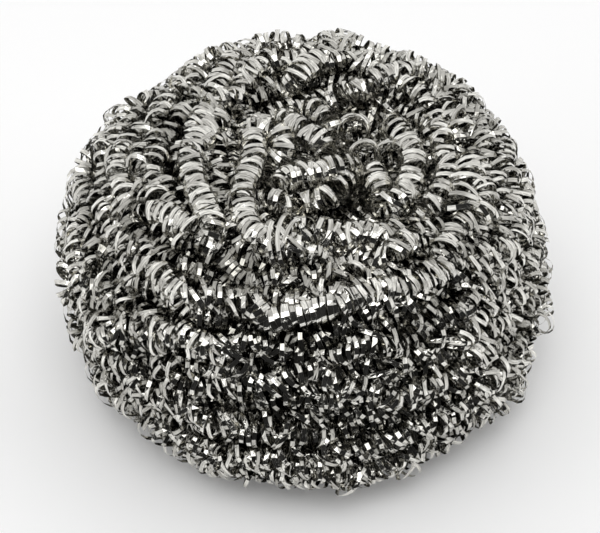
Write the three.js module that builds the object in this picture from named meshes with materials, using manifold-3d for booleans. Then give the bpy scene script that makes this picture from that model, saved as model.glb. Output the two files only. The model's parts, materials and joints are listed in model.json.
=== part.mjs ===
// Stainless steel scourer: a long spring of flat steel ribbon, gathered into a rope and wound turn
// upon turn into a bun-shaped ball, with a dimple where the winding closes on top.
// Millimetres, +Z up. The origin is on the table, under the middle of the ball, and the front is -Y.

import * as THREE from 'three';
import { LoftGeometry } from 'three/addons/geometries/LoftGeometry.js';
import { ParametricGeometry } from 'three/addons/geometries/ParametricGeometry.js';
import { mergeVertices } from 'three/addons/utils/BufferGeometryUtils.js';
import Module from 'manifold-3d';

// The ball, over the tops of its ropes
const BALL_WIDTH = 90;
const BALL_DEPTH = 88;
const BALL_HEIGHT = 50;
const WAIST_HEIGHT = 22; // where the ball is widest
const FOOT_WIDTH = 50; // the underside that the table presses flat
const FOOT_SHIFT = 3; // how far it sags to the right
const LOWER_FULLNESS = 0.75; // 0.55 is a round flank, and more is squarer
const UPPER_FULLNESS = 0.5;
const CROWN_WIDTH = 56; // the ring of rope that stands highest
const DIMPLE_DEPTH = 8; // from the crown down to the eye
const DIMPLE_SHIFT = 7; // how far to the right the eye lies
const EYE_WIDTH = 14; // the hole in the middle of the winding, where it closes
const EYE_DEPTH = 5;

// The rope and how it is wound
const ROPE_PITCH = 8; // from one turn to the next, along the surface
const ROPE_WIDTH = 8.5; // a little over the pitch, so that neighbours press into each other
const FOOT_SQUASH = 0.8; // how far the table presses the lowest ropes flat
const FLAT_SPOT_WIDTH = 14; // the flat spot in the middle of the underside
const CLIMB_START = -133; // degrees: at the front left a turn starts to climb over the last one
const CLIMB_SHARE = 0.3; // of a turn, in which it does most of the climbing
const CLIMB_STEEPNESS = 0.65; // 0 is an even spiral, 1 is level rings joined by ramps
const PROUD = 0.9; // how far a rope stands out of the ball, or sinks in, along its way
const WANDER = 0.9; // how far it strays to either side
const SWINGS_PER_TURN = [0.73, 2.37]; // a slow and a quick swing, neither in step with the turns
const SWING_STARTS = [4, 1, 2]; // radians: of the swings in and out, to the sides, and of the ridges

// The spring's turns, which ridge the rope
const RIDGE_PITCH = 5;
const RIDGE_DEPTH = 1.8; // between one bunch of turns and the next
const RIDGE_SPREAD = 0.8; // how much deeper or shallower it gets along the rope
const RIDGE_SWINGS = 6; // times as often as the rope swings
const RIDGE_LEAN = 2; // along the rope, from one shoulder to the other

// The spring's own ends and loops in the dimple
const SPRING_WIDTH = 5;
const SPRING_WALL = 0.8; // between its outside and the hollow that shows in an open end
const SPRING_RIDGE_PITCH = 1.8;
const SPRING_RIDGE_DEPTH = 0.5;
const SPRING_SEAT = 4; // how deep a loop is rooted under the eye
const MOUTH_DEPTH = 3; // how far an open end can be looked into

// Where the springs run, by places right and back of the eye's middle and under the crown
const CROWN_LOOPS = [
  [
    [-9.5, 11.2, 3.8], [-7.5, 7.6, 2.2], [-5.4, 5.3, 1.6], [-3.7, 3.7, 1.8], [-2.6, 2.5, 2.8],
    [-2.6, 2.8, 5],
  ],
];
const CROWN_ENDS = [
  [
    [2.1, -0.2, 6], [1.8, -1.3, 3.6], [0.3, -2, 2.4], [-1.8, -3, 2], [-4, -4.5, 1.8], [-6.5, -5.2, 1.7],
    [-8.5, -5.8, 1.8], [-10, -7, 1.7], [-11, -8.2, 1.4],
  ],
  [[2.6, 10.6, 7], [2.6, 9.2, 4], [2.7, 7, 1.2]],
  [[4.7, 5.4, 8], [4.5, 3.7, 5], [4.3, 1.4, 2.7]],
  [[9.5, 5.2, 8], [9.2, 3.7, 5], [8.7, 1.4, 2.7]],
  [
    [2.2, -0.2, 7], [1, -3.7, 4.4], [-0.6, -6.5, 3.2], [-2.3, -9.2, 2.8], [-4.2, -10.2, 3],
    [-6.3, -10.3, 3.4],
  ],
  [
    [-17, 13.9, 6], [-16, 8.4, 3.4], [-15.2, 2.6, 2.4], [-15.7, -3.2, 2], [-16.8, -8.7, 1.8],
    [-16.8, -13.8, 1.6], [-15.8, -17.9, 1.6], [-14.3, -20.5, 1.6], [-12.4, -22, 2],
  ],
];

const TAU = 2 * Math.PI;

// Fineness of the mesh
const COARSEST_STEP = 8; // this many of the finest steps, for the smallest turns
const STEP_GROUP = 2 * COARSEST_STEP; // a ridge and a valley of the coarsest steps
const STEPS_PER_TURN = STEP_GROUP * Math.round((TAU * BALL_WIDTH) / RIDGE_PITCH / STEP_GROUP);
const ROWS_PER_ROPE = 4; // a valley, two shoulders and the crest
const SPRING_SIDES = 7;
const POLE_GAP = 3; // rows nearer than this to the ends of the outline close to a point
const LEAST_STEP = 0.01; // taken for a turn that is no more than a point
const WELD = 1e-4; // points nearer than this are one

const wasm = await Module();
wasm.setup();

// The ball's outline on one side of its axis: x is the radius and y the height. It runs from the
// middle of the underside, round the flank and over the crown, down through the dimple into its eye.
function outline() {
  const foot = FOOT_WIDTH / 2;
  const waist = BALL_WIDTH / 2;
  const crown = CROWN_WIDTH / 2;
  const eye = EYE_WIDTH / 2;
  const upper = BALL_HEIGHT - WAIST_HEIGHT;
  const floor = BALL_HEIGHT - DIMPLE_DEPTH;
  const bottom = floor - EYE_DEPTH;
  const path = new THREE.Path();
  path.moveTo(0, -FOOT_SQUASH);
  path.lineTo(foot, -FOOT_SQUASH);
  path.bezierCurveTo(
    foot + LOWER_FULLNESS * (waist - foot), -FOOT_SQUASH,
    waist, WAIST_HEIGHT * (1 - LOWER_FULLNESS),
    waist, WAIST_HEIGHT,
  );
  path.bezierCurveTo(
    waist, WAIST_HEIGHT + UPPER_FULLNESS * upper,
    crown + UPPER_FULLNESS * (waist - crown), BALL_HEIGHT,
    crown, BALL_HEIGHT,
  );
  path.bezierCurveTo(crown / 2, BALL_HEIGHT, crown / 2, floor, eye, floor);
  path.bezierCurveTo(eye / 2, floor, eye / 2, bottom, 0, bottom);
  return path;
}

const OUTLINE = outline();
const OUTLINE_LENGTH = OUTLINE.getLength();

// How far a turn has climbed, from 0 to 1, at a share of the way round.
function climb(share) {
  const ramp = THREE.MathUtils.smoothstep(share, 0, CLIMB_SHARE);
  return (1 - CLIMB_STEEPNESS) * share + CLIMB_STEEPNESS * ramp;
}

// A slow, uneven swing between -1 and 1, which never repeats from one turn to the next.
function swing(turn, phase) {
  const [slow, quick] = SWINGS_PER_TURN;
  return (2 * Math.sin(TAU * slow * turn + phase) + Math.sin(TAU * quick * turn + 2 * phase)) / 3;
}

// 0 at both ends of the outline, and 1 away from them.
function awayFromEnds(along) {
  const inset = Math.min(along - FLAT_SPOT_WIDTH / 2, OUTLINE_LENGTH - along);
  return THREE.MathUtils.smoothstep(inset, 0, ROPE_PITCH);
}

// How far the surface lies under the rope's crest, across the rope from -1 to 1.
function ropeDrop(across) {
  const radius = ROPE_WIDTH / 2;
  const offset = (across * ROPE_PITCH) / 2;
  return radius - Math.sqrt(Math.max(0, radius * radius - offset * offset));
}

// How far to the right of the waist a turn lies: the foot sags and the dimple closes off the middle.
function shift(radius, height) {
  if (height < WAIST_HEIGHT) return FOOT_SHIFT * (1 - THREE.MathUtils.smoothstep(height, 0, WAIST_HEIGHT));
  return DIMPLE_SHIFT * (1 - THREE.MathUtils.smoothstep(radius, CROWN_WIDTH / 4, BALL_WIDTH / 2));
}

// How many steps of a turn at the waist go into one step of this rope, which keeps its ridges as long.
function stride(rope) {
  const place = THREE.MathUtils.clamp((ROPE_PITCH * (rope + 1)) / OUTLINE_LENGTH, 0, 1);
  const stepLength = (TAU * OUTLINE.getPointAt(place).x) / STEPS_PER_TURN;
  const doublings = Math.round(Math.log2(RIDGE_PITCH / 2 / Math.max(stepLength, LEAST_STEP)));
  return THREE.MathUtils.clamp(2 ** doublings, 1, COARSEST_STEP);
}

// A point of the wound surface. Rows run along the rope, so a row that has gone once round meets the
// row that lies one rope further on, and the surface closes.
function woundPoint(step, row, target) {
  const rope = Math.floor(row / ROWS_PER_ROPE) - 1;
  const inRope = row % ROWS_PER_ROPE;
  const count = Math.floor(step / stride(rope));
  const share = (count * stride(rope)) / STEPS_PER_TURN;
  const turn = rope + share;
  const even = ROPE_PITCH * (rope + inRope / ROWS_PER_ROPE + climb(share));
  const [proudStart, wanderStart, ridgeStart] = SWING_STARTS;
  const along = even + WANDER * swing(turn, wanderStart) * awayFromEnds(even);
  const isStart = along < POLE_GAP;
  const isEnd = along > OUTLINE_LENGTH - POLE_GAP;
  const place = isStart ? 0 : isEnd ? 1 : along / OUTLINE_LENGTH;
  const { x: radius, y: height } = OUTLINE.getPointAt(place);
  const tangent = OUTLINE.getTangentAt(place);

  const across = (2 * inRope) / ROWS_PER_ROPE - 1;
  const ridge = RIDGE_DEPTH + RIDGE_SPREAD * swing(RIDGE_SWINGS * turn, ridgeStart);
  const gap = inRope > 0 && count % 2 ? ridge : 0;
  const drop = ropeDrop(across) + gap - PROUD * swing(turn, proudStart);
  const depth = isStart || isEnd ? 0 : drop * awayFromEnds(along);
  const outRadius = Math.max(0, radius - depth * tangent.y);
  const outHeight = height + depth * tangent.x;

  const lean = (RIDGE_LEAN * Math.sin(Math.PI * across)) / 2 / Math.max(radius, RIDGE_LEAN);
  const angle = THREE.MathUtils.degToRad(CLIMB_START) + TAU * share + lean;
  return target.set(
    outRadius * Math.cos(angle) + shift(radius, height),
    ((outRadius * BALL_DEPTH) / BALL_WIDTH) * Math.sin(angle),
    Math.max(0, outHeight),
  );
}

// A closed geometry as a solid that can be joined and cut.
function solidOf(geometry) {
  const bare = new THREE.BufferGeometry().copy(geometry);
  bare.deleteAttribute('normal');
  bare.deleteAttribute('uv');
  const merged = mergeVertices(bare, WELD);
  const index = merged.index.array;
  const kept = [];
  for (let i = 0; i < index.length; i += 3) {
    const [a, b, c] = index.slice(i, i + 3);
    if (a !== b && b !== c && c !== a) kept.push(a, b, c);
  }
  return new wasm.Manifold(new wasm.Mesh({
    numProp: 3,
    vertProperties: merged.attributes.position.array,
    triVerts: new Uint32Array(kept),
  }));
}

function geometryOf(solid) {
  const { vertProperties, triVerts } = solid.getMesh();
  const geometry = new THREE.BufferGeometry();
  geometry.setAttribute('position', new THREE.BufferAttribute(vertProperties, 3));
  geometry.setIndex(new THREE.BufferAttribute(triVerts, 1));
  geometry.computeVertexNormals();
  return geometry;
}

// The ball of wound rope.
function woundBall() {
  const ropes = Math.ceil(OUTLINE_LENGTH / ROPE_PITCH) + 2;
  const rows = ropes * ROWS_PER_ROPE;
  const point = (u, v, target) => {
    const step = Math.round(u * STEPS_PER_TURN);
    const row = Math.round(v * rows);
    const wrapped = step === STEPS_PER_TURN;
    return woundPoint(wrapped ? 0 : step, wrapped ? row + ROWS_PER_ROPE : row, target);
  };
  return solidOf(new ParametricGeometry(point, STEPS_PER_TURN, rows));
}

// A length of bare spring along a curve, ridged by its turns.
function spring(curve) {
  const count = 2 * Math.round(curve.getLength() / SPRING_RIDGE_PITCH / 2);
  const { normals, binormals } = curve.computeFrenetFrames(count, false);
  const sections = [];
  for (let k = 0; k <= count; k++) {
    const radius = SPRING_WIDTH / 2 - (k % 2 ? SPRING_RIDGE_DEPTH : 0);
    const centre = curve.getPointAt(k / count);
    const ring = [];
    for (let side = 0; side < SPRING_SIDES; side++) {
      const turn = (TAU * side) / SPRING_SIDES;
      ring.push(centre.clone()
        .addScaledVector(normals[k], radius * Math.cos(turn))
        .addScaledVector(binormals[k], radius * Math.sin(turn)));
    }
    sections.push(ring);
  }
  return solidOf(new LoftGeometry(sections, { capStart: true, capEnd: true }));
}

// The hollow that shows in a spring's open end.
function mouth(curve) {
  const end = curve.getPointAt(1);
  const out = curve.getTangentAt(1);
  const radius = SPRING_WIDTH / 2 - SPRING_WALL;
  const bore = new THREE.CylinderGeometry(radius, radius, 2 * MOUTH_DEPTH, SPRING_SIDES);
  const turn = new THREE.Quaternion().setFromUnitVectors(new THREE.Vector3(0, 1, 0), out);
  bore.applyQuaternion(turn);
  bore.translate(end.x, end.y, end.z);
  return solidOf(bore);
}

// The curve of a spring through places in the dimple.
function springWay(places) {
  return new THREE.CatmullRomCurve3(places.map(([right, back, down]) => (
    new THREE.Vector3(DIMPLE_SHIFT + right, back, BALL_HEIGHT - down)
  )));
}

// The place inside the ball, straight under another, where a spring is rooted.
function rootOf([right, back]) {
  return [right, back, DIMPLE_DEPTH + EYE_DEPTH + SPRING_SEAT];
}

// The ball with the spring's loops and open ends fused into its dimple, set on the table over the origin.
function scourer() {
  const ends = CROWN_ENDS.map((places) => springWay([rootOf(places[0]), ...places]));
  const loops = CROWN_LOOPS.map((places) => (
    springWay([rootOf(places[0]), ...places, rootOf(places.at(-1))])
  ));
  let whole = woundBall();
  for (const curve of [...loops, ...ends]) whole = whole.add(spring(curve));
  for (const curve of ends) whole = whole.subtract(mouth(curve));
  const { min, max } = whole.boundingBox();
  return whole.translate(-(min[0] + max[0]) / 2, -(min[1] + max[1]) / 2, 0);
}

const steel = new THREE.MeshStandardMaterial({ color: 0xb4b2ac, roughness: 0.22, metalness: 1 });
const group = new THREE.Group();
const body = new THREE.Mesh(geometryOf(scourer()), steel);
body.name = 'wound_ribbon';
group.add(body);

export default group;
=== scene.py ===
"""Stainless steel scourer: a bun-shaped ball of coiled flat steel ribbon on a pale studio floor.

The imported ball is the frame. A rope of three springs is wound along the same spiral as the ball's own
ropes, and each spring is a flat bright ribbon coiled along its strand. Bare springs loop and end in the
dimple on top. Lengths are in metres, +Z is up and the front is -Y.
"""

from __future__ import annotations

import json
import logging
import math
from dataclasses import asdict, dataclass, fields, replace
from enum import Enum, IntEnum
from types import SimpleNamespace
from typing import Sequence, Union

import bpy
import numpy as np
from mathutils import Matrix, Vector

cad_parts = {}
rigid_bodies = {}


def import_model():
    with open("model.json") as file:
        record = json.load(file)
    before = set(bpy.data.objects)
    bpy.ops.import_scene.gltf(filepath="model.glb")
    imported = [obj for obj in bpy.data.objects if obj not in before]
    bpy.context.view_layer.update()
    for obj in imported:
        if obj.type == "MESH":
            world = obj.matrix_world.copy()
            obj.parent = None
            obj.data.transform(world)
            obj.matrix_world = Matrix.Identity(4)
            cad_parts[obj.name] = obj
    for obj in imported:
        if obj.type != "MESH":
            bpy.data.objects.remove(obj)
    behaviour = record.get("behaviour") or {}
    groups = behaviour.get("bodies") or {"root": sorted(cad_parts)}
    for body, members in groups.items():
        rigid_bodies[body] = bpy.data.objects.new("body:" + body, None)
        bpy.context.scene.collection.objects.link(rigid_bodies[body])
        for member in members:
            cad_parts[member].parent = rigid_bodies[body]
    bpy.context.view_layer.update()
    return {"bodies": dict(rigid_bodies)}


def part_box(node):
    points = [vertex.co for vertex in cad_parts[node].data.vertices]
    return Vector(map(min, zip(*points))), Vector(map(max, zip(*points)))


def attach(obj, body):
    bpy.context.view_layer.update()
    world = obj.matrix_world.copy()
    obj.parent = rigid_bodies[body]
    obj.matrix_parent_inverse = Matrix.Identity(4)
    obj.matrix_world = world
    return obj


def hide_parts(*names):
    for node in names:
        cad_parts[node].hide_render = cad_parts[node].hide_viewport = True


LOG = logging.getLogger("scourer")
TAU = 2.0 * math.pi
BODY = "root"
NODE = "wound_ribbon"
MILLIMETRE = 0.001
WHITE = (1.0, 1.0, 1.0, 1.0)
TARGET_HEIGHT = 0.0205
CURVE_POINTS = 200
SHORT_OF_END = 0.0001

Colour = tuple[float, float, float]
Place = tuple[float, float, float]
# How far along the rope a dip is, how far it reaches and how deep it is, or how high where that is negative
Dip = tuple[float, float, float]


def smoothstep(value: np.ndarray, low: float, high: float) -> np.ndarray:
    """Ease from 0 at low to 1 at high, with a smooth rise between."""
    share = np.clip((value - low) / (high - low), 0.0, 1.0)
    return share * share * (3.0 - 2.0 * share)


def unit(vectors: np.ndarray) -> np.ndarray:
    """Rows of vectors, each made one long."""
    return vectors / np.linalg.norm(vectors, axis=1, keepdims=True)


def lengths_along(points: np.ndarray) -> np.ndarray:
    """How far along a path each of its points is."""
    return np.concatenate([[0.0], np.cumsum(np.linalg.norm(np.diff(points, axis=0), axis=1))])


def rounded(corners: np.ndarray) -> np.ndarray:
    """A smooth way through a few points.

    Args:
        corners: The points, in order.

    Returns:
        Many points on a curve that passes through them.
    """
    padded = np.vstack([2 * corners[0] - corners[1], corners, 2 * corners[-1] - corners[-2]])
    place = np.linspace(0.0, len(corners) - 1.0 - SHORT_OF_END, CURVE_POINTS)
    first = place.astype(int)
    t = (place - first)[:, None]
    a, b, c, d = (padded[first + k] for k in range(4))
    square = 2 * a - 5 * b + 4 * c - d
    cube = 3 * b - a - 3 * c + d
    return 0.5 * (2 * b + (c - a) * t + square * t ** 2 + cube * t ** 3)


def bezier(*corners: tuple[float, float]) -> np.ndarray:
    """A curve from the first of four corners to the last.

    Args:
        *corners: The curve's ends, first and last, and its two handles between them.

    Returns:
        The curve's points.
    """
    t = np.linspace(0.0, 1.0, CURVE_POINTS)[:, None]
    a, b, c, d = (np.array(corner) for corner in corners)
    return (1 - t) ** 3 * a + 3 * (1 - t) ** 2 * t * b + 3 * (1 - t) * t ** 2 * c + t ** 3 * d


def direction(azimuth: float, elevation: float) -> Vector:
    """Which way a thing lies from the ball.

    Args:
        azimuth: Degrees round from the front.
        elevation: Degrees up from the floor.

    Returns:
        The direction, one long.
    """
    turn = math.radians(azimuth)
    rise = math.radians(elevation)
    return Vector((math.sin(turn) * math.cos(rise), -math.cos(turn) * math.cos(rise), math.sin(rise)))


def aim(thing: bpy.types.Object, target: Vector, away: Vector, distance: float) -> None:
    """Put a lamp or a camera into the scene, facing a target.

    Args:
        thing: The lamp or the camera.
        target: What it faces.
        away: Which way it lies from there.
        distance: How far off it is.
    """
    thing.location = target + away * distance
    thing.rotation_euler = (-away).to_track_quat("-Z", "Y").to_euler()
    bpy.context.scene.collection.objects.link(thing)


class SocketKind(Enum):
    """The kinds of input that a geometry tree takes."""

    GEOMETRY = "NodeSocketGeometry"
    FLOAT = "NodeSocketFloat"
    INTEGER = "NodeSocketInt"
    MATERIAL = "NodeSocketMaterial"


class Field:
    """A number or a vector that differs from point to point, with the usual arithmetic."""

    def __init__(self, builder: "NodeBuilder", socket: bpy.types.NodeSocket) -> None:
        """Wrap a node's output socket."""
        self.builder = builder
        self.socket = socket

    @property
    def is_vector(self) -> bool:
        """True for a field of vectors or colours."""
        return self.socket.type in ("VECTOR", "RGBA")

    def __add__(self, other: "Operand") -> "Field":
        """The sum."""
        return self.builder.combine("ADD", self, other)

    def __sub__(self, other: "Operand") -> "Field":
        """The difference."""
        return self.builder.combine("SUBTRACT", self, other)

    def __mul__(self, other: "Operand") -> "Field":
        """Multiply two numbers, or scale a vector.

        Args:
            other: The number to multiply by.

        Returns:
            The product.
        """
        if self.is_vector:
            return self.builder.field("ShaderNodeVectorMath", {0: self, "Scale": other}, operation="SCALE")
        return self.builder.combine("MULTIPLY", self, other)

    def __truediv__(self, other: "Operand") -> "Field":
        """The quotient."""
        return self.builder.combine("DIVIDE", self, other)


Operand = Union[Field, float, Place]
Inputs = dict[Union[str, int], object]


class NodeBuilder:
    """A node tree in the making: its nodes, their values and their links."""

    def __init__(self, tree: bpy.types.NodeTree) -> None:
        """Start from a tree, which may have nodes already."""
        self.tree = tree

    def fill(self, node: bpy.types.Node, inputs: Inputs) -> None:
        """Fill in a node's inputs.

        Args:
            node: The node.
            inputs: What goes into each input: a field or a plain value.
        """
        for key, value in inputs.items():
            if isinstance(value, Field):
                self.tree.links.new(value.socket, node.inputs[key])
            else:
                node.inputs[key].default_value = value

    def node(self, kind: str, inputs: Inputs, **settings: object) -> bpy.types.Node:
        """Add a node and fill in its inputs.

        Args:
            kind: Blender's name for the node.
            inputs: What goes into each input: a field or a plain value.
            **settings: The node's own properties.

        Returns:
            The node.
        """
        made = self.tree.nodes.new(kind)
        for key, value in settings.items():
            setattr(made, key, value)
        self.fill(made, inputs)
        return made

    def field(self, kind: str, inputs: Inputs, output: Union[str, int] = 0, **settings: object) -> Field:
        """Add a node, as above, and give one of its outputs as a field."""
        return Field(self, self.node(kind, inputs, **settings).outputs[output])

    def combine(self, operation: str, first: Field, second: Operand) -> Field:
        """One step of arithmetic on two numbers or two vectors."""
        kind = "ShaderNodeVectorMath" if first.is_vector else "ShaderNodeMath"
        return self.field(kind, {0: first, 1: second}, operation=operation)

    def apply(self, operation: str, value: Field) -> Field:
        """A function of one number, such as SINE or FLOOR."""
        return self.field("ShaderNodeMath", {0: value}, operation=operation)

    def dot(self, first: Field, second: Operand) -> Field:
        """The dot product of two vectors."""
        return self.field("ShaderNodeVectorMath", {0: first, 1: second}, "Value", operation="DOT_PRODUCT")

    def split(self, vector: Field) -> list[Field]:
        """A vector's X, Y and Z."""
        node = self.node("ShaderNodeSeparateXYZ", {"Vector": vector})
        return [Field(self, socket) for socket in node.outputs]

    def join(self, x: Operand, y: Operand, z: Operand) -> Field:
        """A vector from its X, Y and Z."""
        return self.field("ShaderNodeCombineXYZ", {"X": x, "Y": y, "Z": z})

    def spread(self, value: Field, start: Operand, stop: Operand, low: float = 0.0, high: float = 1.0,
               **settings: object) -> Field:
        """A number moved from start and stop to low and high, and kept within them."""
        inputs = {"Value": value, "From Min": start, "From Max": stop, "To Min": low, "To Max": high}
        return self.field("ShaderNodeMapRange", inputs, **settings)


class GeometryBuilder(NodeBuilder):
    """A geometry tree in the making, with named inputs."""

    DRIFT_MIDDLE = 0.5
    DRIFT_GAIN = 3.0
    RANDOM_LOW = 2
    RANDOM_HIGH = 3
    RANDOM_NUMBER = 1

    def __init__(self, name: str) -> None:
        """Start an empty tree.

        Args:
            name: The tree's name.
        """
        super().__init__(bpy.data.node_groups.new(name, "GeometryNodeTree"))
        self.tree.interface.new_socket("Geometry", in_out="OUTPUT", socket_type=SocketKind.GEOMETRY.value)
        self.identifiers: dict[str, str] = {}
        self.entry = self.tree.nodes.new("NodeGroupInput")
        self.exit = self.tree.nodes.new("NodeGroupOutput")

    def add_input(self, name: str, kind: SocketKind) -> Field:
        """Add a named input.

        Args:
            name: Its name.
            kind: What it takes.

        Returns:
            The input as a field.
        """
        item = self.tree.interface.new_socket(name, in_out="INPUT", socket_type=kind.value)
        self.identifiers[name] = item.identifier
        return Field(self, self.entry.outputs[name])

    def across(self, vector: Field, axis: Field) -> Field:
        """The part of a vector that is square to an axis, made one long."""
        square = vector - axis * self.dot(vector, axis)
        return self.field("ShaderNodeVectorMath", {0: square}, operation="NORMALIZE")

    def noise(self, place: Field, output: Union[str, int] = 0) -> Field:
        """Smooth noise along a line."""
        inputs = {"W": place, "Scale": 1.0, "Detail": 1.0}
        return self.field("ShaderNodeTexNoise", inputs, output, noise_dimensions="1D")

    def drift(self, place: Field, rate: Operand, seed: Field) -> Field:
        """A smooth random number, mostly between -1 and 1, that drifts along a place."""
        return (self.noise(place * rate + seed) - self.DRIFT_MIDDLE) * self.DRIFT_GAIN

    def random(self, item: Field, seed: Field, low: float = 0.0) -> Field:
        """A random number from low to 1 for each item."""
        inputs = {self.RANDOM_LOW: low, self.RANDOM_HIGH: 1.0, "ID": item, "Seed": seed}
        return self.field("FunctionNodeRandomValue", inputs, self.RANDOM_NUMBER)

    def store(self, geometry: Field, name: str, value: Field) -> Field:
        """Keep a number with each point, under a name."""
        inputs = {"Geometry": geometry, "Name": name, "Value": value}
        return self.field("GeometryNodeStoreNamedAttribute", inputs)

    def finish(self, geometry: Field) -> None:
        """Send the finished geometry out."""
        self.fill(self.exit, {"Geometry": geometry})


@dataclass(frozen=True)
class RibbonSpec:
    """How a flat ribbon is coiled into a spring.

    Its turns bunch up by the clump, stand out by the loose share of the radius, swell and shrink by the
    swell share and are off their place by the jitter. The ribbon's face tips over by the tilt, in radians,
    and by the overlap all along, as tiles do. Its colour has painted shade: darkest below one height in
    the rope and none above another.
    """

    coil_radius: float = 0.0021
    turn_pitch: float = 0.00118
    steps_per_turn: int = 15
    ribbon_width: float = 0.0008
    ribbon_thickness: float = 0.00006
    clump: float = 0.6
    clump_turns: float = 2.6
    lean: float = 0.9
    lean_rate: float = 0.25
    loose: float = 0.35
    swell: float = 0.2
    tilt: float = 0.4
    overlap: float = 0.0
    crinkle: float = 0.00006
    jitter: float = 0.0004
    # Painted shade: below the first height in the rope the ribbon takes the full painted shade, above the
    # second none
    dark_below: float = 0.0002
    bright_above: float = 0.0037


@dataclass(frozen=True)
class Strand:
    """A strand's way through the ball.

    Attributes:
        points: Its points, in order.
        outward: Which way is out of the ball at each point.
        lift: How far out of the middle of its rope it lies at each point, which sets its painted shade.
    """

    points: np.ndarray
    outward: np.ndarray
    lift: np.ndarray

    def part(self, start: int, stop: int) -> "Strand":
        """The strand from one point up to another."""
        return Strand(self.points[start:stop], self.outward[start:stop], self.lift[start:stop])


@dataclass(frozen=True)
class Course:
    """Where each step of a ribbon lies on its strand."""

    step: Field
    turn: Field
    centre: Field
    along: Field
    up: Field
    side: Field
    lift: Field


class Drift(Enum):
    """What drifts along a ribbon, each by its own random number."""

    CLUMP = 0
    STRAY = 1
    SWELL = 2
    SLANT = 3
    NOD = 4
    ROLL = 5


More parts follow.
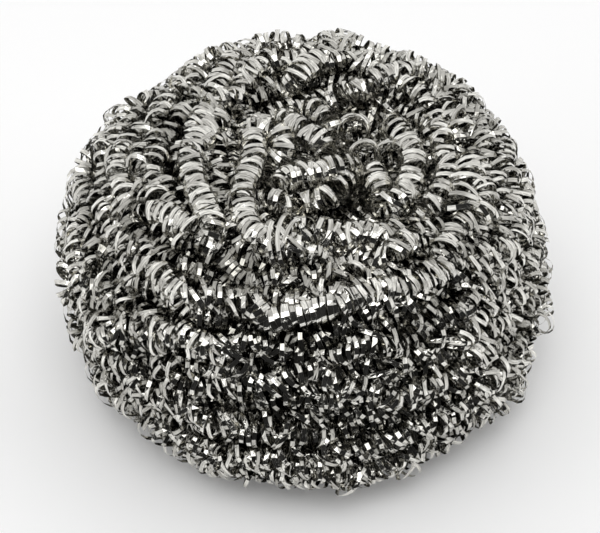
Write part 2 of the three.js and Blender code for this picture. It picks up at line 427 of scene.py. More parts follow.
class CoiledRibbon:
    """The geometry tree that coils a flat ribbon along a strand."""

    OUTWARD = "outward"
    LIFT = "lift"
    SEED_STRIDE = 31.7
    DRIFT_STRIDE = 100.0
    CLUMP_RATE = 0.11
    CLUMP_DRIFT = 3.0
    STRAY_RATE = 0.4
    STRAY_START = 0.45
    SWELL_RATE = 0.8
    NOD_RATE = 1.3
    WOBBLE_RATE = 1.7
    WOBBLE_MIDDLE = (0.5, 0.5, 0.5)
    WOBBLE_GAIN = 4.0
    ROLL_RATE = 0.9
    TONES_PER_TURN = 2.0
    SECTION_CORNERS = 3
    SECTION_DEPTH = 1.5
    SECTION_WIDTH = math.sqrt(3.0)

    def __init__(self, steel: bpy.types.Material) -> None:
        """Build the tree: its inputs, a line of steps, their places and the ribbon round them.

        Args:
            steel: The ribbon's finish.
        """
        tree = GeometryBuilder("coiled_ribbon")
        self.tree = tree
        self.steel = steel
        strand = tree.add_input("strand", SocketKind.GEOMETRY)
        self.size = SimpleNamespace()
        for entry in fields(RibbonSpec):
            kind = SocketKind.INTEGER if entry.type == "int" else SocketKind.FLOAT
            setattr(self.size, entry.name, tree.add_input(entry.name, kind))
        self.seed = tree.add_input("seed", SocketKind.INTEGER)
        finish = tree.add_input("steel", SocketKind.MATERIAL)
        self.start = self.seed * self.SEED_STRIDE
        axis = tree.field("GeometryNodeMeshToCurve", {"Mesh": strand})
        course = self._course(axis)
        curve = self._wound(self._line(axis), course)
        inputs = {"Curve": curve, "Profile Curve": self._section(), "Fill Caps": True}
        mesh = tree.field("GeometryNodeCurveToMesh", inputs)
        flat = {"Geometry": mesh, "Shade Smooth": False}
        mesh = tree.field("GeometryNodeSetShadeSmooth", flat, domain="FACE")
        whole = tree.field("GeometryNodeRealizeInstances", {"Geometry": mesh})
        tree.finish(tree.field("GeometryNodeSetMaterial", {"Geometry": whole, "Material": finish}))

    def _drift(self, turn: Field, rate: Operand, drift: Drift) -> Field:
        """One of the ribbon's drifts along its turns."""
        return self.tree.drift(turn, rate, self.start + self.DRIFT_STRIDE * drift.value)

    def _sample(self, axis: Field, distance: Field, name: str, kind: str) -> bpy.types.Node:
        """Read the strand at a distance along it.

        Args:
            axis: The strand as a curve.
            distance: How far along it.
            name: The attribute to read.
            kind: What kind of value it has.

        Returns:
            A node that gives the attribute, the place and the direction there.
        """
        value = self.tree.field("GeometryNodeInputNamedAttribute", {"Name": name}, data_type=kind)
        return self.tree.node("GeometryNodeSampleCurve", {"Curves": axis, "Value": value, "Length": distance},
                              mode="LENGTH", data_type=kind)

    def _line(self, axis: Field) -> Field:
        """A line that is long enough for the ribbon.

        Args:
            axis: The strand as a curve.

        Returns:
            The line, with as many points as the ribbon has steps.
        """
        tree = self.tree
        length = tree.field("GeometryNodeCurveLength", {"Curve": axis})
        count = tree.apply("FLOOR", length / self.size.turn_pitch * self.size.steps_per_turn)
        line = tree.field("GeometryNodeCurvePrimitiveLine", {}, "Curve")
        return tree.field("GeometryNodeResampleCurve", {"Curve": line, "Count": count})

    def _course(self, axis: Field) -> Course:
        """Where each step lies along the strand, in clumps of touching turns.

        Args:
            axis: The strand as a curve.

        Returns:
            The steps' places and directions.
        """
        tree = self.tree
        size = self.size
        step = tree.field("GeometryNodeInputIndex", {})
        turn = step / size.steps_per_turn
        unrest = self._drift(turn, self.CLUMP_RATE, Drift.CLUMP) * self.CLUMP_DRIFT
        beat = turn * TAU / size.clump_turns + unrest
        bunched = turn + tree.apply("SINE", beat) * size.clump * size.clump_turns / TAU
        distance = bunched * size.turn_pitch
        way = self._sample(axis, distance, self.OUTWARD, "FLOAT_VECTOR")
        lift = self._sample(axis, distance, self.LIFT, "FLOAT")
        centre = Field(tree, way.outputs["Position"])
        along = Field(tree, way.outputs["Tangent"])
        up = tree.across(Field(tree, way.outputs["Value"]), along)
        side = tree.combine("CROSS_PRODUCT", along, up)
        return Course(step, turn, centre, along, up, side, Field(tree, lift.outputs["Value"]))

    def _wound(self, line: Field, course: Course) -> Field:
        """Wind a line into turns, each with its own size, lean, tilt and tone, and none below the floor.

        Args:
            line: A line with as many points as the ribbon has steps.
            course: Where each step lies on the strand.

        Returns:
            The middle of the ribbon, as a curve that knows which way the ribbon faces.
        """
        tree = self.tree
        size = self.size
        turn = course.turn
        sine = tree.apply("SINE", turn * TAU)
        cosine = tree.apply("COSINE", turn * TAU)
        radial = course.up * cosine + course.side * sine
        stray = tree.spread(self._drift(turn, self.STRAY_RATE, Drift.STRAY), self.STRAY_START, 1.0)
        swell = self._drift(turn, self.SWELL_RATE, Drift.SWELL) * size.swell
        radius = size.coil_radius * (swell + 1.0 + stray * size.loose)
        slant = self._drift(turn, size.lean_rate, Drift.SLANT) * size.lean
        nod = self._drift(turn, size.lean_rate * self.NOD_RATE, Drift.NOD) * size.lean
        forward = radius * (slant * sine + nod * cosine)
        shake = tree.noise(turn * self.WOBBLE_RATE + self.start, "Color")
        wobble = (shake - self.WOBBLE_MIDDLE) * (size.jitter * self.WOBBLE_GAIN)
        reach = radius + tree.random(course.step, self.seed, -1.0) * size.crinkle
        x, y, z = tree.split(course.centre + radial * reach + course.along * forward + wobble)
        grounded = tree.join(x, y, tree.combine("MAXIMUM", z, size.ribbon_width * 0.5))
        ribbon = tree.field("GeometryNodeSetPosition", {"Geometry": line, "Position": grounded})

        roll = self._drift(turn, self.ROLL_RATE, Drift.ROLL) * size.tilt + size.overlap
        facing = radial * tree.apply("COSINE", roll) + course.along * tree.apply("SINE", roll)
        ribbon = tree.field("GeometryNodeSetCurveNormal", {"Curve": ribbon, "Normal": facing}, mode="FREE")
        tone = tree.random(tree.apply("FLOOR", turn * self.TONES_PER_TURN), self.seed)
        # Painted shade: the lower a step lies in its rope, the darker its colour, standing in for the shade
        # of the turns over it
        painted_shade = tree.spread(course.lift + radius * cosine, size.dark_below, size.bright_above,
                            interpolation_type="SMOOTHSTEP")
        ribbon = tree.store(ribbon, "tone", tone)
        ribbon = tree.store(ribbon, "turn", turn + self.start)
        return tree.store(ribbon, "painted_shade", painted_shade)

    def _section(self) -> Field:
        """The ribbon's section: a very flat triangle, its long side out.

        Returns:
            The section, as a curve that knows how far across the ribbon it is.
        """
        tree = self.tree
        size = self.size
        circle = {"Resolution": self.SECTION_CORNERS, "Radius": 1.0}
        section = tree.field("GeometryNodeCurvePrimitiveCircle", circle, "Curve")
        depth = size.ribbon_thickness / self.SECTION_DEPTH
        scale = tree.join(depth, size.ribbon_width / self.SECTION_WIDTH, 1.0)
        turned = {"Geometry": section, "Rotation": (0.0, 0.0, math.pi), "Scale": scale}
        section = tree.field("GeometryNodeTransform", turned)
        _, across, _ = tree.split(tree.field("GeometryNodeInputPosition", {}))
        return tree.store(section, "across", across / size.ribbon_width)

    def coil(self, name: str, strand: Strand, spec: RibbonSpec, seed: int) -> bpy.types.Object:
        """Coil a ribbon along a strand.

        Args:
            name: The finished piece's name.
            strand: The strand's way.
            spec: How the ribbon is coiled.
            seed: What sets this ribbon apart from the others.

        Returns:
            The ribbon as a plain mesh object at the origin.
        """
        guide = bpy.data.meshes.new(name + "_strand")
        edges = [(i, i + 1) for i in range(len(strand.points) - 1)]
        guide.from_pydata(strand.points.tolist(), edges, [])
        attribute = guide.attributes.new(self.OUTWARD, "FLOAT_VECTOR", "POINT")
        attribute.data.foreach_set("vector", strand.outward.astype(np.float32).ravel())
        attribute = guide.attributes.new(self.LIFT, "FLOAT", "POINT")
        attribute.data.foreach_set("value", strand.lift.astype(np.float32))
        carrier = bpy.data.objects.new(name + "_strand", guide)
        bpy.context.scene.collection.objects.link(carrier)
        modifier = carrier.modifiers.new("coil", "NODES")
        modifier.node_group = self.tree.tree
        values = {**asdict(spec), "seed": seed, "steel": self.steel}
        for key, value in values.items():
            modifier[self.tree.identifiers[key]] = value
        evaluated = carrier.evaluated_get(bpy.context.evaluated_depsgraph_get())
        mesh = bpy.data.meshes.new_from_object(evaluated)
        mesh.name = name
        bpy.data.objects.remove(carrier)
        bpy.data.meshes.remove(guide)
        piece = bpy.data.objects.new(name, mesh)
        bpy.context.scene.collection.objects.link(piece)
        return piece


@dataclass(frozen=True)
class Winding:
    """The rope's way round the ball, from the middle of the underside to the dimple."""

    width: float
    depth: float
    height: float
    crest: float = 0.001
    foot_height: float = 0.0
    waist_height: float = 0.022
    foot_width: float = 0.050
    foot_shift: float = 0.003
    lower_fullness: float = 0.75
    upper_fullness: float = 0.5
    crown_width: float = 0.056
    dimple_depth: float = 0.008
    dimple_shift: float = 0.007
    eye_width: float = 0.014
    eye_depth: float = 0.005
    rope_pitch: float = 0.008
    rope_width: float = 0.0085
    climb_start: float = math.radians(-133.0)
    climb_share: float = 0.3
    climb_steepness: float = 0.65
    proud: float = 0.0009
    wander: float = 0.0009
    proud_phase: float = 4.0
    wander_phase: float = 1.0
    slow_swings: float = 0.73
    quick_swings: float = 2.37
    start_gap: float = 0.004
    end_gap: float = 0.004
    point_gap: float = 0.0012
    rope_samples: int = 20000
    slide: tuple[float, float, float] = (0.0, 0.0, 0.0)

    @classmethod
    def fitted(cls, size: Sequence[float]) -> "Winding":
        """The winding of a ball that stands over the origin.

        Args:
            size: The ball's width, depth and height.

        Returns:
            The winding, with the middle of its box over the origin.
        """
        width, depth, height = size
        plain = cls(width, depth, height - cls.crest)
        points, outward = plain.rope()
        surface = points + outward * plain.rope_width / 2
        middle = (surface.min(axis=0) + surface.max(axis=0)) / 2
        return replace(plain, slide=(-middle[0], -middle[1], 0.0))

    def inset(self, depth: float) -> "Winding":
        """The same winding on a smaller ball.

        Args:
            depth: How far under this one it lies.

        Returns:
            The smaller winding.
        """
        return replace(self, width=self.width - 2 * depth, depth=self.depth - 2 * depth,
                       height=self.height - depth, foot_height=self.foot_height + depth,
                       crown_width=self.crown_width - depth, foot_width=self.foot_width - depth)

    def outline(self) -> np.ndarray:
        """The ball's outline on one side of its axis.

        Returns:
            Rows of radius and height, from the middle of the underside to the floor of the dimple.
        """
        foot = self.foot_width / 2
        waist = self.width / 2
        crown = self.crown_width / 2
        eye = self.eye_width / 2
        sole = self.foot_height
        middle = self.waist_height
        top = self.height
        floor = top - self.dimple_depth
        bottom = floor - self.eye_depth
        hip = foot + self.lower_fullness * (waist - foot)
        belly = middle + self.lower_fullness * (sole - middle)
        chest = middle + self.upper_fullness * (top - middle)
        shoulder = crown + self.upper_fullness * (waist - crown)
        underside = np.linspace((0.0, sole), (foot, sole), CURVE_POINTS)
        lower = bezier((foot, sole), (hip, sole), (waist, belly), (waist, middle))
        upper = bezier((waist, middle), (waist, chest), (shoulder, top), (crown, top))
        dimple = bezier((crown, top), (crown / 2, top), (crown / 2, floor), (eye, floor))
        hole = bezier((eye, floor), (eye / 2, floor), (eye / 2, bottom), (0.0, bottom))
        return np.vstack([underside, lower[1:], upper[1:], dimple[1:], hole[1:]])

    def swing(self, turn: np.ndarray, phase: float) -> np.ndarray:
        """A slow, uneven swing between -1 and 1 that never repeats from one turn to the next.

        Args:
            turn: How many turns along the rope.
            phase: Where the swing starts.

        Returns:
            The swing at each place.
        """
        slow = np.sin(TAU * self.slow_swings * turn + phase)
        quick = np.sin(TAU * self.quick_swings * turn + 2.0 * phase)
        return (2.0 * slow + quick) / 3.0

    def climb(self, share: np.ndarray) -> np.ndarray:
        """How far a turn has climbed, from 0 to 1, at a share of the way round."""
        ramp = smoothstep(share, 0.0, self.climb_share)
        return (1.0 - self.climb_steepness) * share + self.climb_steepness * ramp

    def rope(self) -> tuple[np.ndarray, np.ndarray]:
        """The middle of the rope.

        Returns:
            Its points, a point gap apart, and which way is out of the ball at each.
        """
        outline = self.outline()
        travelled = lengths_along(outline)
        slope = np.gradient(outline, travelled, axis=0)
        turn = np.linspace(0.0, travelled[-1] / self.rope_pitch, self.rope_samples)
        share = turn - np.floor(turn)
        along = self.rope_pitch * (np.floor(turn) + 0.5 + self.climb(share))
        along = along + self.wander * self.swing(turn, self.wander_phase)
        kept = (along > self.start_gap) & (along < travelled[-1] - self.end_gap)
        turn, share, along = turn[kept], share[kept], along[kept]
        radius = np.interp(along, travelled, outline[:, 0])
        height = np.interp(along, travelled, outline[:, 1])
        out_radius = np.interp(along, travelled, slope[:, 1])
        out_height = -np.interp(along, travelled, slope[:, 0])
        depth = self.rope_width / 2 - self.proud * self.swing(turn, self.proud_phase)
        below = self.foot_shift * (1.0 - smoothstep(height, 0.0, self.waist_height))
        above = self.dimple_shift * (1.0 - smoothstep(radius, self.crown_width / 4, self.width / 2))
        shift = np.where(height < self.waist_height, below, above)
        angle = self.climb_start + TAU * share
        ring = radius - depth * out_radius
        points = np.column_stack([
            ring * np.cos(angle) + shift,
            ring * np.sin(angle) * self.depth / self.width,
            height - depth * out_height,
        ])
        outward = unit(np.column_stack([out_radius * np.cos(angle), out_radius * np.sin(angle), out_height]))
        return self.evenly(points + np.array(self.slide), outward)

    def in_dimple(self, places: np.ndarray) -> np.ndarray:
        """Points from rows of how far right and back of the eye's middle, and how far under the crown."""
        over_eye = np.array([self.dimple_shift, 0.0, self.height]) + np.array(self.slide)
        return over_eye + places * np.array([1.0, 1.0, -1.0])

    def evenly(self, points: np.ndarray, outward: np.ndarray) -> tuple[np.ndarray, np.ndarray]:
        """Space a path's points evenly.

        Args:
            points: The path's points.
            outward: A direction for each.

        Returns:
            The points, a point gap apart, and their directions.
        """
        travelled = lengths_along(points)
        places = np.arange(0.0, travelled[-1], self.point_gap)
        evened = [np.column_stack([np.interp(places, travelled, rows[:, k]) for k in range(3)])
                  for rows in (points, outward)]
        return evened[0], unit(evened[1])


class Seed(IntEnum):
    """Where the seeds of each group of ribbons start."""

    STRANDS = 1
    VALLEYS = 15
    LOOSE_LOOPS = 21
    RIM = 24
    INNER = 31
    CROWN = 41


@dataclass(frozen=True)
class Sway:
    """An uneven swing along the rope: two waves, one on top of the other.

    Attributes:
        lengths: How long each wave is.
        sizes: How high each is.
        phases: Where in its swing each starts.
    """

    lengths: tuple[float, float]
    sizes: tuple[float, float] = (1.0, 0.5)
    phases: tuple[float, float] = (0.0, 0.0)

    def at(self, travelled: np.ndarray, shifts: tuple[float, float] = (0.0, 0.0)) -> np.ndarray:
        """The swing at places along the rope, with each wave shifted on in its swing."""
        waves = zip(self.sizes, self.lengths, np.add(self.phases, shifts))
        return sum(size * np.sin(TAU * travelled / length + phase) for size, length, phase in waves)


@dataclass
class WoundBall:
    """The ropes of the ball: strands of coiled ribbon, twisted together and wound along the spiral.

    Attributes:
        dips: Where the rope dips; its painted shade follows each dip.
        valley_dips: Where the springs in the grooves between two ropes dip; their painted shade follows each
            dip.
        rim_leans: Places along the rope, and how far round it the rim spring lies there, in radians.
    """

    winding: Winding
    ribbon: CoiledRibbon
    # The lower half of the ball takes deeper painted shade than the upper half
    lower_spec: RibbonSpec = RibbonSpec(
        turn_pitch=0.0017, steps_per_turn=18, ribbon_width=0.00072, lean=1.1, lean_rate=0.35, tilt=0.6,
        jitter=0.0005, dark_below=0.0008, bright_above=0.0041)
    upper_spec: RibbonSpec = RibbonSpec()
    valley_spec: RibbonSpec = RibbonSpec(turn_pitch=0.0013, steps_per_turn=12)
    loop_spec: RibbonSpec = RibbonSpec(
        turn_pitch=0.0042, steps_per_turn=14, clump=0.9, clump_turns=1.7, lean_rate=0.05, loose=0.2)
    rim_spec: RibbonSpec = RibbonSpec(
        coil_radius=0.0022, turn_pitch=0.00074, steps_per_turn=18, ribbon_width=0.001, clump=0.7,
        clump_turns=3.6, lean=0.5, loose=0.1, swell=0.1, tilt=0.2, overlap=0.2, jitter=0.0003)
    # The inner turns lie low enough to take nearly the full painted shade
    inner_spec: RibbonSpec = RibbonSpec(
        coil_radius=0.0038, turn_pitch=0.0018, steps_per_turn=9, ribbon_width=0.0012, dark_below=0.004,
        bright_above=0.008)
    twist_pitches: Sequence[float] = (0.047, -0.065, 0.083)
    twist_sway: Sway = Sway((0.019, 0.083), (0.6, 1.0))
    strand_offset: float = 0.0022
    stray: float = 0.0009
    stray_sway: Sway = Sway((0.031, 0.0127))
    valley_lift: float = -0.0003
    valley_sway: Sway = Sway((0.037, 0.0153), phases=(1.0, 2.0))
    valley_side_sway: Sway = Sway((0.053, 0.0119), phases=(3.0, 4.0))
    loop_offset: float = 0.0017
    loop_phases: Sequence[float] = (0.0, 2.5)
    loop_sway: Sway = Sway((0.043, 0.0171), (0.9, 0.7), (0.0, 1.0))
    inner_inset: float = 0.0045
    rim_offset: float = 0.0026
    rim_leans: Sequence[tuple[float, float]] = (
        (1.9965, -0.4), (1.9995, 0.75), (2.001, 0.5), (2.005, 0.25), (2.008, 0.08), (2.0112, -0.12),
        (2.015, -0.15), (2.0185, -0.22), (2.022, 0.2), (2.027, 0.65), (2.031, 0.4),
    )
    dips: Sequence[Dip] = (
        (2.1845, 0.0055, 0.0042), (2.194, 0.004, 0.0018), (2.3415, 0.004, 0.0022), (2.226, 0.004, 0.0042),
        (2.380, 0.004, 0.0025), (1.5234, 0.004, 0.003), (2.1534, 0.004, -0.0012), (2.2752, 0.005, -0.001),
        (1.757, 0.004, -0.001), (1.0975, 0.006, 0.0016), (1.352, 0.008, 0.0008), (2.1258, 0.009, -0.0012),
        (1.787, 0.009, 0.0015), (1.6146, 0.006, -0.001), (1.8456, 0.008, -0.001), (1.2534, 0.007, 0.0012),
        (0.9965, 0.004, 0.0012), (1.107, 0.007, 0.0016), (1.281, 0.006, -0.001), (1.045, 0.007, -0.001),
        (1.813, 0.007, 0.0008), (2.2432, 0.004, 0.003),
    )
    valley_dips: Sequence[Dip] = (
        (1.998, 0.008, 0.003), (1.288, 0.008, -0.0022), (1.977, 0.005, -0.0015), (2.1755, 0.004, -0.0012),
        (2.1486, 0.005, -0.002), (2.0155, 0.007, 0.0015), (2.0255, 0.006, 0.001), (1.349, 0.006, 0.001),
        (1.592, 0.005, 0.001),
    )

    def __post_init__(self) -> None:
        """Work out the middle of the rope, which the strands lie beside."""
        self.points, self.outward = self.winding.rope()
        self.side = np.cross(unit(np.gradient(self.points, axis=0)), self.outward)
        self.travelled = np.arange(len(self.points)) * self.winding.point_gap

    def build(self) -> list[bpy.types.Object]:
        """Coil every strand.

        Returns:
            The pieces: a lower and an upper one for each strand and for the groove springs, the loose loops,
            the rim spring and the turns inside.
        """
        return [*self._strands(), *self._valleys(), *self._loose_loops(), self._rim(), self._inner_turns()]

    def _sunk(self, dips: Sequence[Dip]) -> np.ndarray:
        """How far dips sink the rope at each of its points."""
        return sum(depth * np.exp(-((self.travelled - place) / reach) ** 2) for place, reach, depth in dips)

    def _beside(self, lift: np.ndarray, aside: np.ndarray) -> Strand:
        """A strand that lies beside the middle of the rope and dips with it.

        Args:
            lift: How far out of the ball from there, before the dips.
            aside: How far to the rope's side.

        Returns:
            The strand.
        """
        # The dips move the strand in or out, and its painted shade with it
        raised = lift - self._sunk(self.dips)
        return Strand(self.points + raised[:, None] * self.outward + aside[:, None] * self.side,
                      self.outward, raised)

    def _around(self, offset: Union[float, np.ndarray], angle: np.ndarray) -> Strand:
        """A strand at a distance from the middle of the rope, and at an angle round it."""
        return self._beside(offset * np.cos(angle), offset * np.sin(angle))

    def _halves(self, name: str, strand: Strand, specs: tuple[RibbonSpec, RibbonSpec],
                seed: int) -> list[bpy.types.Object]:
        """Coil a strand as a lower and an upper piece.

        Args:
            name: What both names start with.
            strand: The strand.
            specs: How the lower and the upper half are coiled.
            seed: The lower half's seed, which the upper half's follows.

        Returns:
            The two pieces.
        """
        middle = len(strand.points) // 2
        lower = strand.part(0, middle + 1)
        upper = strand.part(middle, len(strand.points))
        return [self.ribbon.coil(name + "_lower", lower, specs[0], seed),
                self.ribbon.coil(name + "_upper", upper, specs[1], seed + 1)]

    def _strands(self) -> list[bpy.types.Object]:
        """Coil the strands that are twisted into the rope.

        Returns:
            Two pieces for each strand.
        """
        pieces = []
        for number, pitch in enumerate(self.twist_pitches):
            phase = TAU * number / len(self.twist_pitches)
            twist = phase + TAU * self.travelled / pitch
            twist = twist + self.twist_sway.at(self.travelled, (2 * phase, phase))
            off_place = self.stray * self.stray_sway.at(self.travelled, (phase, 3 * phase))
            strand = self._around(self.strand_offset + off_place, twist)
            specs = (self.lower_spec, self.upper_spec)
            pieces += self._halves(f"strand_{number + 1}", strand, specs, Seed.STRANDS + 2 * number)
        return pieces

    def _valleys(self) -> list[bpy.types.Object]:
        """Coil the springs in the grooves between two ropes.

        Returns:
            The two pieces.
        """
        lift = self.valley_lift + self.stray * self.valley_sway.at(self.travelled)
        aside = self.winding.rope_pitch / 2 + self.stray * self.valley_side_sway.at(self.travelled)
        strand = self._beside(lift - self._sunk(self.valley_dips), aside)
        return self._halves("valley", strand, (self.valley_spec, self.valley_spec), Seed.VALLEYS.value)

    def _loose_loops(self) -> list[bpy.types.Object]:
        """Coil the loose loops that stand out of the ropes.

        Returns:
            The pieces.
        """
        pieces = []
        for number, phase in enumerate(self.loop_phases):
            strand = self._around(self.loop_offset, self.loop_sway.at(self.travelled, (phase, phase)))
            name = f"loose_loops_{number + 1}"
            pieces.append(self.ribbon.coil(name, strand, self.loop_spec, Seed.LOOSE_LOOPS + number))
        return pieces

    def _rim(self) -> bpy.types.Object:
        """Coil the spring along the rim at the front.

        Returns:
            The piece.
        """
        places, leans = np.array(self.rim_leans).T
        start, stop = np.searchsorted(self.travelled, (places[0], places[-1]))
        strand = self._around(self.rim_offset, np.interp(self.travelled, places, leans)).part(start, stop)
        return self.ribbon.coil("rim_spring", strand, self.rim_spec, Seed.RIM.value)

    def _inner_turns(self) -> bpy.types.Object:
        """Coil the wider turns under the ropes.

        Returns:
            The piece.
        """
        points, outward = self.winding.inset(self.inner_inset).rope()
        strand = Strand(points, outward, np.zeros(len(points)))
        return self.ribbon.coil("inner_turns", strand, self.inner_spec, Seed.INNER.value)


class SpringKind(Enum):
    """How a spring in the dimple is coiled."""

    # Painted shade darkens the underside of each turn a little
    CLOSE = RibbonSpec(
        coil_radius=0.0023, turn_pitch=0.00092, steps_per_turn=16, ribbon_width=0.0009,
        ribbon_thickness=0.0001, clump=0.7, clump_turns=4.3, lean=0.7, lean_rate=0.5, loose=0.25, swell=0.14,
        tilt=0.35, overlap=0.15, jitter=0.0003, dark_below=-0.006, bright_above=0.001)
    AIRY = replace(CLOSE, turn_pitch=0.00135, clump=0.85, clump_turns=3.1)
    LOOSE = replace(CLOSE, coil_radius=0.0033, turn_pitch=0.0018)
    RING = replace(
        CLOSE, coil_radius=0.0026, ribbon_width=0.0005, clump=0.3, lean=0.3, loose=0.1, swell=0.1, tilt=0.25,
        overlap=0.8, jitter=0.0002)
    OPEN = replace(
        CLOSE, coil_radius=0.0058, turn_pitch=0.0016, steps_per_turn=26, ribbon_width=0.0008, lean=0.3,
        loose=0.15, swell=0.1, overlap=0.3, crinkle=0.00003, jitter=0.0002)


class Rooting(Enum):
    """Which ends of a spring go down into the ball: the first, and the last."""

    BOTH = (True, True)
    FIRST = (True, False)
    NEITHER = (False, False)


@dataclass(frozen=True)
class Spring:
    """A bare spring in the dimple or on the crown.

    Attributes:
        name: The piece's name.
        places: Places along its middle, in millimetres right and back of the eye and under the crown.
        kind: How it is coiled.
        rooting: Which of its ends go down into the ball.
    """

    name: str
    places: Sequence[Place]
    kind: SpringKind = SpringKind.CLOSE
    rooting: Rooting = Rooting.BOTH


@dataclass
class CrownSprings:
    """The bare springs that loop and end in the dimple and on the crown."""

    winding: Winding
    ribbon: CoiledRibbon
    springs: Sequence[Spring] = (
        Spring("crown_loop_1", (
            (-9.5, 11.2, 3.8), (-7.5, 7.6, 2.2), (-5.4, 5.3, 1.6), (-3.7, 3.7, 1.8), (-2.6, 2.5, 2.8),
            (-2.6, 2.8, 5))),
        Spring("crown_loop_2", (
            (9.4, 10.6, 4.5), (11.0, 6.4, 2.6), (12.5, 2.2, 2), (12.9, -2.7, 1.5), (12.4, -6.6, 1.4),
            (11.3, -9.7, 1.6), (9.5, -11.3, 2), (7.8, -11.7, 2.8), (6.7, -10.4, 5)), SpringKind.AIRY),
        Spring("crown_loop_3", (
            (-11.5, -20.5, 5), (-10, -20.2, 3.2), (-7.5, -19.8, 2.6), (-5, -19.6, 2.4), (-2.6, -19.8, 2.4),
            (-0.9, -20.6, 3.4)), SpringKind.LOOSE),
        Spring("crown_loop_9", (
            (-0.9, -21.6, 3), (0.5, -21.0, 1.6), (2.7, -20.2, 1.3), (5.1, -20.4, 1.4), (7.3, -21.6, 2),
            (8.3, -21.7, 4))),
        Spring("crown_loop_4", (
            (5.7, 0.3, 6.5), (6.5, -3.0, 4.4), (6.9, -5.9, 4), (6.9, -7.8, 4.6), (6.4, -7.3, 7))),
        Spring("crown_loop_5", (
            (-17.5, 9.6, 5.5), (-15.3, 8.4, 3.2), (-12.8, 7.7, 2.8), (-10.7, 6.1, 2.8), (-9.8, 3.5, 3),
            (-10.9, 1.0, 3.6), (-12.6, 1.3, 5.5))),
        Spring("crown_loop_6", (
            (-20.9, 13.0, 4), (-22.6, 8.4, 2), (-24.8, 4.7, 1.5), (-26.1, 0.7, 1.4), (-26.2, -3.1, 1.4),
            (-25.2, -7.9, 1.4), (-24.0, -11.7, 1.4), (-22.8, -15.3, 1.5), (-22.0, -18.6, 1.8),
            (-22.7, -20.2, 3.6))),
        Spring("crown_loop_7", (
            (-14.3, -8.8, 7), (-13.2, -9.3, 4.6), (-11.5, -9.4, 3.6), (-9.6, -10.6, 3.4),
            (-8.4, -10.6, 5.5))),
        Spring("crown_loop_8", (
            (-5.2, 16.5, 6), (-4.0, 13.0, 3.4), (-2.6, 10.8, 3), (-1.5, 9.2, 3.6), (-1.2, 9.4, 6.5))),
        Spring("crown_end_1", (
            (2.1, -0.2, 6), (1.8, -1.3, 3.6), (0.3, -2, 2.4), (-1.8, -3, 2), (-4, -4.5, 1.8),
            (-6.5, -5.2, 1.7), (-8.5, -5.8, 1.8), (-10.2, -7.1, 1.6), (-10.9, -8.9, 1)),
            rooting=Rooting.FIRST),
        Spring("crown_end_2", (
            (2.6, 10.6, 7), (2.6, 9.2, 4), (2.7, 7, 1.2)), SpringKind.RING, Rooting.FIRST),
        Spring("crown_end_3", (
            (4.7, 5.4, 8), (4.5, 3.7, 5), (4.3, 1.4, 2.7)), SpringKind.RING, Rooting.FIRST),
        Spring("crown_end_4", (
            (9.5, 5.2, 8), (9.2, 3.7, 5), (8.7, 1.4, 2.7)), SpringKind.RING, Rooting.FIRST),
        Spring("crown_end_5", (
            (2.2, -0.2, 7), (1, -3.7, 4.4), (-0.6, -6.5, 3.2), (-2.3, -9.2, 2.8), (-4.2, -10.2, 3),
            (-6.3, -10.3, 3.4)), rooting=Rooting.FIRST),
        Spring("crown_end_6", (
            (-17, 13.9, 6), (-16, 8.4, 3.4), (-15.2, 2.6, 2.4), (-15.7, -3.2, 2), (-16.8, -8.7, 1.8),
            (-16.8, -13.8, 1.6), (-15.8, -17.9, 1.6), (-14.3, -20.5, 1.6), (-12.4, -22, 2)),
            rooting=Rooting.FIRST),
        Spring("crown_loop_10", (
            (-9.5, -20.5, 4.3), (-7.9, -21.3, 3.5), (-6.3, -22.1, 2.7)), SpringKind.OPEN, Rooting.NEITHER),
        Spring("crown_loop_11", (
            (14.0, 25.2, 5.5), (12.0, 23.4, 3), (8.8, 21.5, 1.9), (5.2, 18.9, 1.7), (2.8, 17.2, 2.4),
            (1.6, 17.6, 4.5))),
        Spring("crown_loop_12", (
            (1.2, 31.7, 3.5), (-1.0, 28.4, 1.8), (-3.7, 25.2, 1.2), (-6.5, 21.9, 1.2), (-8.8, 18.8, 1.8),
            (-9.9, 19.7, 4))),
        Spring("crown_loop_13", (
            (-19.4, 27.9, 4), (-20.4, 23.6, 2.2), (-21.5, 19.6, 1.5), (-22.5, 15.9, 1.6), (-23.3, 16.4, 4))),
        Spring("crown_loop_14", (
            (17.4, 15.5, 5.5), (17.7, 10.4, 3.4), (18.2, 5.2, 2.8), (18.6, 0.5, 2.5), (19.0, -3.8, 2.5),
            (17.9, -8.1, 2.5), (15.9, -11.6, 2.7), (14.5, -13.2, 3.6), (13.9, -12.4, 5.5)), SpringKind.AIRY),
        Spring("crown_loop_15", (
            (23.4, -0.3, 5), (22.8, -5.0, 3), (21.9, -9.1, 2.4), (21.1, -12.4, 2.6), (20.7, -11.9, 5)),
            SpringKind.LOOSE),
    )
    # How high in its rope each spring counts for its painted shade; it doesn't move the spring
    lift: float = 0.0005

    def build(self) -> list[bpy.types.Object]:
        """Coil every spring.

        Returns:
            The springs, one piece each.
        """
        pieces = []
        for seed, spring in enumerate(self.springs, start=Seed.CROWN.value):
            strand = self._strand(spring)
            pieces.append(self.ribbon.coil(spring.name, strand, spring.kind.value, seed))
        return pieces

    def _strand(self, spring: Spring) -> Strand:
        """A spring's way, from the depth of the eye where an end goes down into the ball.

        Args:
            spring: The spring.

        Returns:
            Its strand.
        """
        root = self.winding.dimple_depth + self.winding.eye_depth
        places = MILLIMETRE * np.array(spring.places)
        has_first, has_last = spring.rooting.value
        before = [np.array([[*places[0, :2], root]])] if has_first else []
        after = [np.array([[*places[-1, :2], root]])] if has_last else []
        corners = self.winding.in_dimple(np.vstack([*before, places, *after]))
        upright = np.tile((0.0, 0.0, 1.0), (CURVE_POINTS, 1))
        points, outward = self.winding.evenly(rounded(corners), upright)
        return Strand(points, outward, np.full(len(points), self.lift))


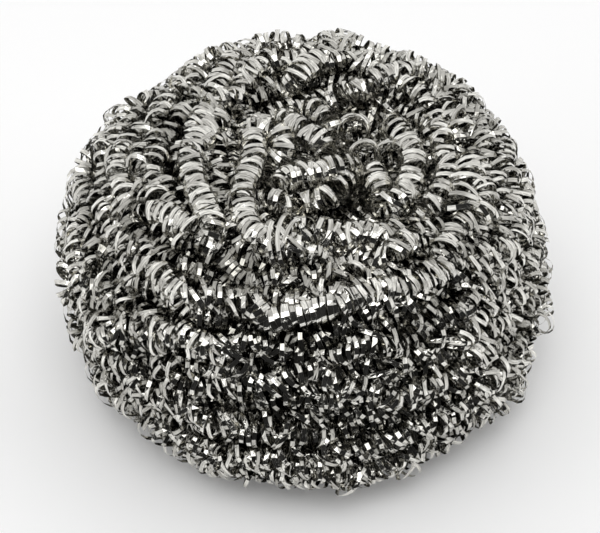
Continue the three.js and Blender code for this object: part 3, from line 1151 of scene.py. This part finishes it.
@dataclass(frozen=True)
class BrightSteel:
    """Bright rolled stainless steel ribbon, a little warm, with its own sheen for each turn and painted
    shade.
    """

    # Painted shade: the colour that ribbon deep in the rope is darkened to
    deep: Colour = (0.31, 0.302, 0.272)
    dark: Colour = (0.47, 0.458, 0.422)
    light: Colour = (0.96, 0.945, 0.885)
    streak_width: float = 0.3
    streak_turns: float = 0.12
    streak_low: float = 0.6
    streak_high: float = 1.2
    noise_low: float = 0.25
    noise_high: float = 0.75
    roughness_low: float = 0.05
    roughness_high: float = 0.14
    grain_scale: float = 900.0
    edge_start: float = 0.4
    edge_end: float = 0.5
    # Painted shade at the ribbon's edges: how far the base colour is darkened there
    edge_shade: float = 0.4
    edge_roughness: float = 0.45
    crinkle_scale: float = 2200.0
    crinkle_depth: float = 0.00003

    def build(self) -> bpy.types.Material:
        """Make the finish.

        Returns:
            The material.
        """
        material = bpy.data.materials.new("bright_steel")
        material.use_nodes = True
        nodes = NodeBuilder(material.node_tree)
        place = nodes.field("ShaderNodeTexCoord", {}, "Object")
        across = self._attribute(nodes, "across")
        off_middle = nodes.apply("ABSOLUTE", across)
        nodes.fill(material.node_tree.nodes["Principled BSDF"], {
            "Metallic": 1.0,
            "Base Color": self._colour(nodes, across, off_middle),
            "Roughness": self._roughness(nodes, place, off_middle),
            "Normal": self._crinkles(nodes, place),
        })
        return material

    @staticmethod
    def _attribute(nodes: NodeBuilder, name: str) -> Field:
        """A number that the ribbon's points keep."""
        return nodes.field("ShaderNodeAttribute", {}, "Fac", attribute_name=name)

    @staticmethod
    def _mix(nodes: NodeBuilder, share: Field, first: object, second: object) -> Field:
        """A colour between two others."""
        inputs = {"Factor": share, "A": first, "B": second}
        return nodes.field("ShaderNodeMix", inputs, "Result", data_type="RGBA")

    def _colour(self, nodes: NodeBuilder, across: Field, off_middle: Field) -> Field:
        """Each turn's own tone, with painted shade deep in the rope and at the ribbon's edges, and streaks
        along it.

        Args:
            nodes: The material's nodes.
            across: How far across the ribbon, in widths from its middle.
            off_middle: The same without its sign.

        Returns:
            The colour.
        """
        own = self._mix(nodes, self._attribute(nodes, "tone"), (*self.dark, 1.0), (*self.light, 1.0))
        # Painted shade: deep in the rope the colour falls to the painted shade colour
        with_painted_shade = self._mix(nodes, self._attribute(nodes, "painted_shade"), (*self.deep, 1.0), own)
        flat = nodes.join(self._attribute(nodes, "turn"), across, 0.0)
        inputs = {"Vector": flat / (self.streak_turns, self.streak_width, 1.0), "Scale": 1.0}
        streak = nodes.field("ShaderNodeTexNoise", inputs, noise_dimensions="2D")
        sheen = nodes.spread(streak, self.noise_low, self.noise_high, self.streak_low, self.streak_high)
        # Painted shade along the ribbon's edges, darker towards each edge
        edge = nodes.spread(off_middle, self.edge_start, self.edge_end, 1.0, self.edge_shade)
        return with_painted_shade * (sheen * edge)

    def _roughness(self, nodes: NodeBuilder, place: Field, off_middle: Field) -> Field:
        """Smooth in the middle of the ribbon and dull at its edges.

        Args:
            nodes: The material's nodes.
            place: Where on the ball.
            off_middle: How far from the middle of the ribbon, in widths.

        Returns:
            The roughness.
        """
        grain = nodes.field("ShaderNodeTexNoise", {"Vector": place, "Scale": self.grain_scale})
        face = nodes.spread(grain, 0.0, 1.0, self.roughness_low, self.roughness_high)
        edge = nodes.spread(off_middle, self.edge_start, self.edge_end, 0.0, self.edge_roughness)
        return nodes.combine("MAXIMUM", face, edge)

    def _crinkles(self, nodes: NodeBuilder, place: Field) -> Field:
        """Fine crinkles in the ribbon's face, as bump.

        Args:
            nodes: The material's nodes.
            place: Where on the ball.

        Returns:
            The crinkled normal.
        """
        height = nodes.field("ShaderNodeTexNoise", {"Vector": place, "Scale": self.crinkle_scale})
        inputs = {"Strength": 1.0, "Distance": self.crinkle_depth, "Height": height}
        return nodes.field("ShaderNodeBump", inputs)


@dataclass(frozen=True)
class PaleFloor:
    """A pale matt finish, with a little glow for the camera and for what the steel reflects."""

    colour: Colour = (0.9, 0.9, 0.9)
    roughness: float = 0.9
    glow: float = 0.1

    def build(self) -> bpy.types.Material:
        """Make the finish.

        Returns:
            The material.
        """
        material = bpy.data.materials.new("pale_floor")
        material.use_nodes = True
        nodes = NodeBuilder(material.node_tree)
        path = nodes.node("ShaderNodeLightPath", {})
        seen = Field(nodes, path.outputs["Is Camera Ray"])
        for other in ("Is Glossy Ray", "Is Transmission Ray"):
            seen = nodes.combine("MAXIMUM", seen, Field(nodes, path.outputs[other]))
        nodes.fill(material.node_tree.nodes["Principled BSDF"], {
            "Base Color": (*self.colour, 1.0),
            "Roughness": self.roughness,
            "Specular IOR Level": 0.0,
            "Emission Color": WHITE,
            "Emission Strength": seen * self.glow,
        })
        return material


@dataclass(frozen=True)
class Studio:
    """The pale floor, the light tent, the soft key panel and the camera."""

    target: Vector
    elevation: float = 45.0
    distance: float = 0.55
    lens: float = 180.6
    clip_start: float = 0.01
    floor_size: float = 6.0
    floor_front: float = 0.075
    tent: float = 0.95
    opening: float = 0.028
    opening_azimuth: float = 10.0
    opening_elevation: float = 5.0
    opening_inner: float = 51.0
    opening_outer: float = 55.0
    panel_elevation: float = 66.0
    panel_distance: float = 1.0
    panel_width: float = 0.65
    panel_height: float = 0.55
    panel_radiance: float = 2.3

    def build(self) -> None:
        """Set up everything that isn't the object."""
        self._floor()
        self._world()
        self._key_panel()
        self._camera()
        bpy.context.scene.view_settings.view_transform = "Standard"

    def _floor(self) -> None:
        """Lay the floor, a table top with its front edge a little before the ball."""
        half = self.floor_size / 2
        front = -self.floor_front
        corners = [(-half, front, 0.0), (half, front, 0.0), (half, half, 0.0), (-half, half, 0.0)]
        mesh = bpy.data.meshes.new("floor")
        mesh.from_pydata(corners, [], [(0, 1, 2, 3)])
        mesh.materials.append(PaleFloor().build())
        floor = bpy.data.objects.new("floor", mesh)
        bpy.context.scene.collection.objects.link(floor)

    def _world(self) -> None:
        """Hang a pale tent round the ball, with a dark opening at the front."""
        world = bpy.data.worlds.new("studio")
        world.use_nodes = True
        nodes = NodeBuilder(world.node_tree)
        way = nodes.field("ShaderNodeTexCoord", {}, "Generated")
        facing = nodes.dot(way, direction(self.opening_azimuth, self.opening_elevation))
        outer = math.cos(math.radians(self.opening_outer))
        inner = math.cos(math.radians(self.opening_inner))
        strength = nodes.spread(
            facing, outer, inner, self.tent, self.opening, interpolation_type="SMOOTHSTEP")
        nodes.fill(world.node_tree.nodes["Background"], {"Color": WHITE, "Strength": strength})
        bpy.context.scene.world = world

    def _key_panel(self) -> None:
        """Hang a soft light over the front, a flat panel that faces the ball."""
        lamp = bpy.data.lights.new("key_panel", "AREA")
        lamp.shape = "RECTANGLE"
        lamp.size = self.panel_width
        lamp.size_y = self.panel_height
        lamp.energy = self.panel_radiance * math.pi * self.panel_width * self.panel_height
        panel = bpy.data.objects.new("key_panel", lamp)
        aim(panel, self.target, direction(0.0, self.panel_elevation), self.panel_distance)

    def _camera(self) -> None:
        """Place the camera where the photograph was taken from."""
        lens = bpy.data.cameras.new("camera")
        lens.lens = self.lens
        lens.clip_start = self.clip_start
        camera = bpy.data.objects.new("camera", lens)
        aim(camera, self.target, direction(0.0, self.elevation), self.distance)
        bpy.context.scene.camera = camera


def main() -> None:
    logging.basicConfig(level=logging.INFO, format="%(name)s: %(message)s")
    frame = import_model()
    low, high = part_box(NODE)
    LOG.info("bodies: %s", ", ".join(frame["bodies"]))
    winding = Winding.fitted(high - low)
    ribbon = CoiledRibbon(BrightSteel().build())
    pieces = WoundBall(winding, ribbon).build() + CrownSprings(winding, ribbon).build()
    for piece in pieces:
        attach(piece, BODY)
        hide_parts(NODE)
        LOG.info("%s: %d faces", piece.name, len(piece.data.polygons))
    Studio(Vector((winding.slide[0], 0.0, TARGET_HEIGHT))).build()


if __name__ == "__main__":
    main()
